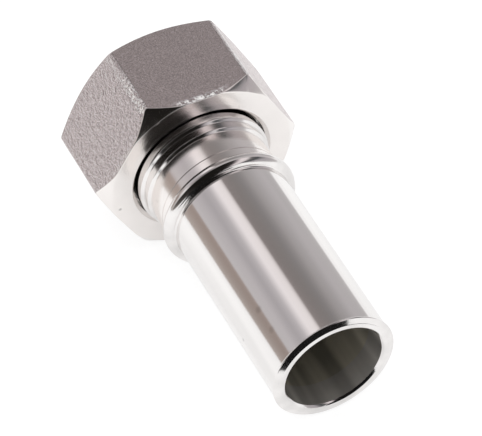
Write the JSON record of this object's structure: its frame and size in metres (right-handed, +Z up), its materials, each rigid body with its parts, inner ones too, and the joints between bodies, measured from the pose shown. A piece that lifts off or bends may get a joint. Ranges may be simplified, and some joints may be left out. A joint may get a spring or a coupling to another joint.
{
  "type": "hose tail union fitting",
  "caption": "Stainless hose union: a smooth hose tail with safety collar and lip, a loose hexagonal union nut with internal pipe thread, and a flat gasket.",
  "frame": {"origin": "on the floor, under the middle of the part's box as it lies at rest", "axes": "+X from the union nut towards the hose end, in plan; +Z up. The fitting's own axis slopes down to the hose end by 6.51 degrees"},
  "size_m": [0.1064, 0.0574, 0.0528],
  "materials": {
    "turned_stainless": "turned and lightly polished stainless steel",
    "cast_stainless": "blasted casting with turned front face and chamfers",
    "gasket": "matt white sealing plastic"
  },
  "bodies": {
    "tail": {"hose_tail": "turned_stainless"},
    "gasket": {"flat_gasket": "gasket"},
    "nut": {"union_nut": "cast_stainless"}
  },
  "joints": [
    {"name": "nut_swivel", "type": "hinge", "parent": "tail", "child": "gasket", "pos_m": [-0.03257, 0, 0.02597], "axis": [0.9936, 0, -0.1133], "continuous": true},
    {"name": "nut_slide", "type": "slide", "parent": "gasket", "child": "nut", "axis": [0.9936, 0, -0.1133], "range_m": [0, 0.012]}
  ]
}
